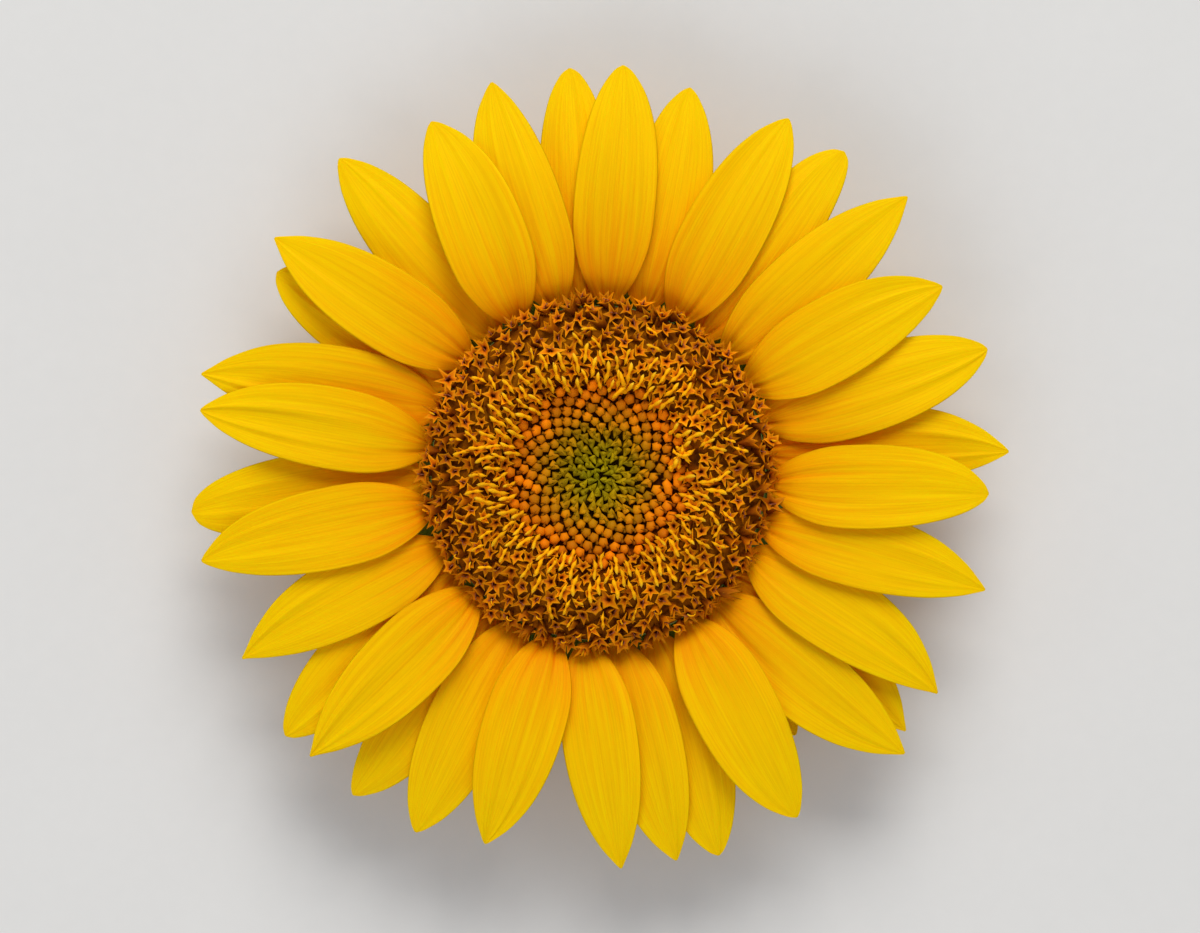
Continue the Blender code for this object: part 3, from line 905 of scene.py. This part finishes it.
def tuft_groups():
    """Short strands that splay from one floret, and a looped pair from another."""
    groups = []
    for number in range(TUFT_STRANDS):
        origin, axes = disc_frame(TUFT_RADIUS, TUFT_AZIMUTH)
        turn = np.array([TURN * (number + draw.uniform(-1.0, 1.0)) / TUFT_STRANDS])
        origin[:, 2] += draw.uniform(0.2, 1.3) * MM
        splayed = scatter_axes(spun(axes, turn), 0.40)
        length = draw.uniform(2.2, 4.4) * MM
        origin = origin - splayed[:, 0] * 0.4 * length
        size = np.array([[length, TUFT_THICKNESS * length, TUFT_THICKNESS * length]])
        groups.append((set_out(strand_shape(0.7 * number), origin, splayed, size), np.array([1.0])))
    for turn in LOOP_TURNS:
        origin, axes = disc_frame(LOOP_RADIUS, LOOP_AZIMUTH)
        origin[:, 2] += LOOP_RAISED
        looped = spun(axes, np.array([turn]))
        placed = set_out(stigma_shape(STYLE_CURL), origin, looped, np.full((1, 3), LOOP_SIZE))
        groups.append((placed, np.array([0.9])))
    return groups


def thinned(spots, share):
    """About this share of the spots, drawn at random."""
    return spots[draw.uniform(0.0, 1.0, len(spots)) < share]


strand_spots = spots_between(RING_REACH[1], STRANDS_TO)
strand_spots = clear_of(strand_spots, STRANDLESS_RADIUS, GAP_AZIMUTH, STRANDLESS_REACH)
strand_spots = thinned(strand_spots, STRAND_SHARE)
late_spots = thinned(spots_between(STRANDS_TO, LATE_STRANDS_TO), LATE_STRAND_SHARE)
strand_groups = [
    placed_strands(spots, 0.2 * MM, strand_shape(2.0 * number), STRAND_LENGTH, 0.20)
    for number, spots in enumerate(np.array_split(draw.permutation(strand_spots), STRAND_FORMS))
]
strand_groups.append(placed_strands(late_spots, 0.5 * MM, strand_shape(1.0), LATE_STRAND_LENGTH, 0.5))
# Bright yellow, dusty and grainy, a little oranger towards its root.
pollen_yellow = floret_material("pollen_yellow", 0.75, 0.06, {
    "height": [
        (0.05, 1.0, 0.60, 0.03), (0.18, 1.0, 0.50, 0.004), (0.50, 0.96, 0.36, 0.0),
        (0.72, 1.0, 0.47, 0.002), (1.0, 0.90, 0.32, 0.0),
    ],
}, shades=(0.85, 1.10), tissue=(1200.0, 0.35, 0.12 * MM, 0.8))
florets_piece("anther_strands", pollen_yellow, strand_groups + tuft_groups())
style_spots = thinned(outer_spots, STYLE_SHARE)
style_turn = draw.uniform(0.0, TURN, len(style_spots))
florets_piece("curled_styles", pollen_yellow, [
    placed_arms(style_spots, STYLE_SINK, style_turn, STYLE_CURL, STYLE_SIZE),
])
stigma_spots = spots_between(STIGMAS_FROM, DISC_RADIUS)
stigma_turn = draw.uniform(0.0, TURN, len(stigma_spots))
# Red-brown arms with paler, pinkish tips.
stigma_brown = floret_material("stigma_brown", 0.5, 0.4, {
    "height": [
        (0.2, 0.16, 0.03, 0.01), (0.6, 0.34, 0.09, 0.04), (1.0, 0.60, 0.28, 0.18),
    ],
}, shades=(1.0, 1.0), tissue=(1200.0, 0.6, 0.05 * MM, 0.6))
florets_piece("stigmas", stigma_brown, [
    placed_arms(stigma_spots, STIGMA_SINK, stigma_turn + turn, STIGMA_CURL, STIGMA_SIZE)
    for turn in (0.0, 0.5 * TURN)
])


# --------------------------------------
# Ray florets. Each petal is a thin, soft blade on a narrow claw, with a groove down the middle
# between two ribs and fine veins that all run together into the point.
# --------------------------------------
def sheet_stations(node):
    """The middle surface of a thin CAD sheet, as stations from root to tip of three points each:
    clockwise edge, middle and anticlockwise edge.

    The corners are sorted along the chord from root to tip into sixes, and each six across it.
    """
    points = node_points(node)
    radius = np.hypot(points[:, 0] - AXIS_X, points[:, 1] - AXIS_Y)
    root = points[np.argsort(radius)[:6]].mean(0)
    tip = points[np.argsort(radius)[-6:]].mean(0)
    chord = (tip - root)[:2] / np.linalg.norm((tip - root)[:2])
    along = (points[:, :2] - root[:2]) @ chord
    sixes = points[np.argsort(along)].reshape(-1, 6, 3)
    sideways = sixes[..., 1] * chord[0] - sixes[..., 0] * chord[1]
    order = np.argsort(sideways, axis=1)[..., None]
    return np.take_along_axis(sixes, order, 1).reshape(-1, 3, 2, 3).mean(2)


def blade_loop(top_columns, under_columns):
    """Place across the blade and side of it, for each point round its edge-to-edge section: across
    the top from -1 to 1, then back underneath."""
    top = np.linspace(-1.0, 1.0, top_columns)
    under = np.linspace(1.0, -1.0, under_columns)[1:-1]
    across = np.concatenate([top, under])
    side = np.concatenate([np.ones_like(top), -np.ones_like(under)])
    return across, side


def blade_points(stations, rows, across, side, thickness, relief):
    """A blade over the CAD stations, smoothed along and bent across as a parabola.

    Half the thickness goes to each side, running out to nothing at the edges, root and tip, and
    relief(along, across) raises both sides together. Returns the points and along.
    """
    line = smooth_line(stations, rows)
    first, middle, last = line[:, 0:1], line[:, 1:2], line[:, 2:3]
    spread = across[None, :, None]
    bow = (last + first - 2.0 * middle) / 2.0
    points = middle + (last - first) / 2.0 * spread + bow * spread ** 2
    along = np.linspace(0.0, 1.0, rows)[:, None]
    edges = np.sqrt(np.clip(1.0 - across ** 8, 0.0, 1.0))[None, :]
    ends = np.sqrt(np.clip(1.0 - (2.0 * along - 1.0) ** 8, 0.0, 1.0))
    lift = relief(along, across[None, :]) + side[None, :] * thickness / 2.0 * edges * ends
    ahead = np.gradient(line[:, 1], axis=0)
    beside = line[:, 2] - line[:, 0]
    normal = np.cross(ahead, beside)
    normal /= np.linalg.norm(normal, axis=1, keepdims=True)
    return points + normal[:, None, :] * lift[..., None], np.broadcast_to(along, lift.shape)


RAY_ROWS = 72
RAY_TOP_COLUMNS = 57
RAY_UNDER_COLUMNS = 29
RAY_THICKNESS = 0.26 * MM
RIB_PLACE = 0.34
RIB_WIDTH = 0.12
RIB_HEIGHT = 0.44 * MM
GROOVE_WIDTH = 0.11
GROOVE_DEPTH = 0.70 * MM
GROOVES_END = 0.60
SWELL_HEIGHT = 0.13 * MM
VEIN_HEIGHT = 0.012 * MM
VEINS = 9.0
FLUTTER_HEIGHT = 0.30 * MM
RAY_FIRST_SEED = 100


def ray_relief(ray_draw):
    """The relief of one petal, its own in every part.

    Near the root two grooves set off a middle band; further out two ribs stand a third of the way
    out. Broad swells and fine veins run lengthwise, and the edges flutter a little.
    """
    ribs = RIB_PLACE * ray_draw.uniform(0.75, 1.25, 2) * np.array([-1.0, 1.0])
    heights = RIB_HEIGHT * ray_draw.uniform(0.0, 1.2, 2)
    depths = GROOVE_DEPTH * ray_draw.uniform(0.5, 1.2, 2)
    phases = ray_draw.uniform(0.0, TURN, 6)
    strength = ray_draw.uniform(0.85, 1.15)

    def relief(along, across):
        fade = np.clip(along / 0.07, 0.0, 1.0) * np.clip((1.0 - along) / 0.30, 0.0, 1.0)
        rooted = np.clip(1.0 - along / GROOVES_END, 0.0, 1.0)
        rise = SWELL_HEIGHT * np.sin(5.0 * across + phases[0] + 1.5 * along)
        for place, height, depth in zip(ribs, heights, depths):
            rise = rise + height * (1.0 - rooted) * np.exp(-(((across - place) / RIB_WIDTH) ** 2))
            rise = rise - depth * rooted * np.exp(-(((across - place) / GROOVE_WIDTH) ** 2))
        rise = rise + 0.25 * SWELL_HEIGHT * np.sin(13.0 * across + phases[1] + 2.0 * along)
        sway = 0.5 * np.sin(4.0 * along + phases[3])
        rise = rise + VEIN_HEIGHT * np.sin(VEINS * math.pi * across + phases[2] + sway)
        flutter = FLUTTER_HEIGHT * across ** 3 * np.sin(7.0 * along + phases[4])
        return strength * fade * (rise + flutter)

    return relief


def add_streaks(tree, along, across, own, stretch, detail):
    """Noise drawn out lengthwise: stretch is how often it varies along the blade and across it, and
    own, different for each blade, makes the streaks its own."""
    place = add_node(
        tree, "ShaderNodeCombineXYZ", Z=own,
        X=add_maths(tree, "MULTIPLY", along, stretch[0]), Y=add_maths(tree, "MULTIPLY", across, stretch[1]),
    ).outputs[0]
    return add_node(tree, "ShaderNodeTexNoise", Vector=place, Scale=1.0, Detail=detail).outputs[0]


def add_from_midline(tree, across):
    """How far a point is from the blade's midline: 0 there and 0.5 at the edges."""
    return add_maths(tree, "ABSOLUTE", add_maths(tree, "SUBTRACT", across, 0.5), 0.0)


def ray_material():
    """Orange at the claw, golden along the blade and clearer yellow towards the point.

    Streaks drawn out lengthwise vary the colour, fine veins run brighter between them, and the
    edges and the very tip are a little more orange.
    """
    material, tree, shader = make_material("petal_gold", 0.65, 0.03)
    along, across = read_surface(tree)
    tone = read_value(tree, "tone")
    shift = add_maths(tree, "MULTIPLY", tone, 37.0)
    streaks = add_streaks(tree, along, across, shift, (2.0, 16.0), 2.0)
    fine = add_streaks(tree, along, across, shift, (4.0, 52.0), 2.0)
    swing = add_maths(tree, "MULTIPLY", add_maths(tree, "SUBTRACT", streaks, 0.5), 0.42)
    own = add_maths(tree, "MULTIPLY", add_maths(tree, "SUBTRACT", tone, 0.5), 0.12)
    place = add_maths(tree, "ADD", along, add_maths(tree, "ADD", swing, own))
    gold = add_ramp(tree, place, [
        (0.00, 0.92, 0.23, 0.0), (0.12, 0.95, 0.29, 0.0), (0.28, 0.97, 0.39, 0.0),
        (0.45, 0.97, 0.485, 0.0), (0.75, 0.97, 0.555, 0.0), (1.00, 0.96, 0.54, 0.0),
    ])
    from_midline = add_maths(tree, "MULTIPLY", add_from_midline(tree, across), 2.0)
    edge = add_ramp(tree, add_maths(tree, "MAXIMUM", from_midline, along), [
        (0.95, 0.0, 0.0, 0.0), (1.0, 1.0, 1.0, 1.0),
    ])
    gold = add_tint(tree, "MIX", add_maths(tree, "MULTIPLY", edge, 0.3), gold, (0.90, 0.45, 0.0, 1.0))
    veins = add_ramp(tree, fine, [
        (0.34, 0.94, 0.91, 0.9), (0.52, 1.0, 1.0, 1.0), (0.68, 1.03, 1.07, 1.0),
    ])
    colour = add_tint(tree, "MULTIPLY", 1.0, gold, veins)
    tree.links.new(colour, shader.inputs["Base Color"])
    shader.inputs["Subsurface Weight"].default_value = 0.35
    shader.inputs["Subsurface Radius"].default_value = (1.0, 0.45, 0.03)
    shader.inputs["Subsurface Scale"].default_value = 1.5 * MM
    add_bump(tree, shader, fine, 0.10 * MM, 0.5)
    return material


def replace_blades(prefix, name, rows, columns, thickness, relief, material, first_seed):
    """Puts a blade of its own in place of every CAD node whose name starts with prefix. columns are
    those on the blade's top and under it."""
    across, side = blade_loop(*columns)
    nodes = sorted(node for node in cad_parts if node.startswith(prefix))
    for number, node in enumerate(nodes):
        own_draw = np.random.default_rng(first_seed + number)
        stations = sheet_stations(node)
        points, along = blade_points(stations, rows, across, side, thickness, relief(own_draw))
        place = np.broadcast_to((across + 1.0) / 2.0, along.shape)
        tone = {"tone": np.full(along.shape, own_draw.uniform(0.0, 1.0))}
        faces = loop_faces(*along.shape, True)
        blade = make_piece(node.replace(prefix, name), points, faces, material, along, place, tone)
        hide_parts(node)


replace_blades(
    "ray_", "petal_", RAY_ROWS, (RAY_TOP_COLUMNS, RAY_UNDER_COLUMNS), RAY_THICKNESS,
    ray_relief, ray_material(), RAY_FIRST_SEED,
)


# --------------------------------------
# Bracts. Broad green scales, drawn out to long points, clasp the back of the head under the rays.
# They are leafy, with a midrib and a few veins lengthwise; the bristles along their edges are not
# built.
# --------------------------------------
BRACT_ROWS = 40
BRACT_TOP_COLUMNS = 29
BRACT_UNDER_COLUMNS = 29
BRACT_THICKNESS = 0.6 * MM
MIDRIB_DEPTH = 0.35 * MM
BRACT_VEIN_DEPTH = 0.10 * MM
BRACT_FLUTTER = 0.5 * MM
BRACT_FIRST_SEED = 300


def bract_relief(bract_draw):
    """A midrib and four side veins, raised on the under side, and a gentle flutter at the edges."""
    phases = bract_draw.uniform(0.0, TURN, 3)

    def relief(along, across):
        fade = np.sin(math.pi * np.clip(along, 0.02, 1.0)) ** 0.5
        midrib = MIDRIB_DEPTH * np.exp(-((across / 0.10) ** 2)) * (1.0 - 0.7 * along)
        veins = BRACT_VEIN_DEPTH * np.cos(5.0 * math.pi * across) * (1.0 - across ** 4)
        flutter = BRACT_FLUTTER * across ** 3 * np.sin(6.0 * along + phases[0])
        return fade * (flutter - midrib - veins)

    return relief


def bract_material():
    """Leaf green, yellower along midrib and veins, paler at the root, dull and finely downy."""
    material, tree, shader = make_material("bract_green", 0.66, 0.3)
    along, across = read_surface(tree)
    tone = read_value(tree, "tone")
    leaf = add_ramp(tree, along, [
        (0.0, 0.24, 0.34, 0.07), (0.30, 0.13, 0.25, 0.035),
        (0.80, 0.11, 0.21, 0.028), (1.0, 0.16, 0.18, 0.04),
    ])
    rib = add_ramp(tree, add_from_midline(tree, across), [(0.0, 1.0, 1.0, 1.0), (0.045, 0.0, 0.0, 0.0)])
    veins = add_streaks(tree, along, across, add_maths(tree, "MULTIPLY", tone, 21.0), (5.0, 34.0), 3.0)
    colour = add_tint(tree, "MIX", add_maths(tree, "MULTIPLY", rib, 0.55), leaf, (0.24, 0.32, 0.09, 1.0))
    colour = add_shade(tree, colour, veins, 0.65, 1.35)
    cover_in_tissue(tree, shader, colour, scale=420.0, mottle=0.5, depth=0.15 * MM, strength=0.6)
    return material


replace_blades(
    "bract_", "green_bract_", BRACT_ROWS, (BRACT_TOP_COLUMNS, BRACT_UNDER_COLUMNS), BRACT_THICKNESS,
    bract_relief, bract_material(), BRACT_FIRST_SEED,
)


# --------------------------------------
# The floor, the light and the camera. A pale matt floor, a broad soft light from beyond the top of
# the head, a weaker one from the other side, and a camera straight above, looking down.
# --------------------------------------
FLOOR_HALF = 4.0
CAMERA_HEIGHT = 1.35
FRAME_WIDTH = 0.2923
PETAL_HEIGHT = 0.029
SENSOR_WIDTH = 36.0
HEAD_HEIGHT = 0.03
WORLD_COLOUR = (0.94, 0.96, 1.0, 1.0)
WORLD_STRENGTH = 0.37


def build_floor():
    """A wide square of pale floor, round the origin."""
    corners = np.array([[-1, -1, 0], [1, -1, 0], [1, 1, 0], [-1, 1, 0]], float) * FLOOR_HALF
    mesh = bpy.data.meshes.new("floor")
    mesh.from_pydata(corners.tolist(), [], [(0, 1, 2, 3)])
    material, tree, shader = make_material("floor_white", 0.9, 0.2)
    colour, _ = add_tissue(tree, (0.72, 0.715, 0.70, 1.0), 30.0, 0.03)
    tree.links.new(colour, shader.inputs["Base Color"])
    mesh.materials.append(material)
    floor = bpy.data.objects.new("floor", mesh)
    bpy.context.scene.collection.objects.link(floor)


def add_light(name, place, size, power, spread, colour):
    """A square soft light at this place that faces the head, its beam this wide in radians."""
    lamp = bpy.data.lights.new(name, "AREA")
    lamp.shape = "SQUARE"
    lamp.size = size
    lamp.energy = power
    lamp.spread = spread
    lamp.color = colour
    holder = bpy.data.objects.new(name, lamp)
    holder.location = place
    direction = np.array([0.0, 0.0, HEAD_HEIGHT]) - np.array(place)
    yaw = math.atan2(direction[1], direction[0])
    pitch = math.atan2(math.hypot(direction[0], direction[1]), -direction[2])
    holder.rotation_euler = (0.0, -pitch, yaw)
    bpy.context.scene.collection.objects.link(holder)


def build_camera():
    """A long lens straight above the origin, whose frame is as wide as it should be at the petals."""
    lens = bpy.data.cameras.new("camera")
    lens.sensor_width = SENSOR_WIDTH
    lens.lens = SENSOR_WIDTH * (CAMERA_HEIGHT - PETAL_HEIGHT) / FRAME_WIDTH
    lens.clip_start = 0.05
    lens.clip_end = 30.0
    camera = bpy.data.objects.new("camera", lens)
    camera.location = (0.0, 0.0, CAMERA_HEIGHT)
    bpy.context.scene.collection.objects.link(camera)
    bpy.context.scene.camera = camera


def build_world():
    """Even light from all round, a little cooler than the lamps."""
    world = bpy.data.worlds.new("studio")
    world.use_nodes = True
    background = world.node_tree.nodes["Background"]
    background.inputs["Color"].default_value = WORLD_COLOUR
    background.inputs["Strength"].default_value = WORLD_STRENGTH
    bpy.context.scene.world = world


build_floor()
build_world()
add_light(
    "key_light", place=(0.18, 2.05, 1.85), size=1.7, power=26.5,
    spread=math.radians(115.0), colour=(1.0, 0.98, 0.95),
)
add_light(
    "fill_light", place=(-0.5, -1.4, 1.3), size=1.4, power=11.0,
    spread=math.pi, colour=(0.97, 0.98, 1.0),
)
build_camera()
bpy.context.scene.view_settings.view_transform = "Standard"
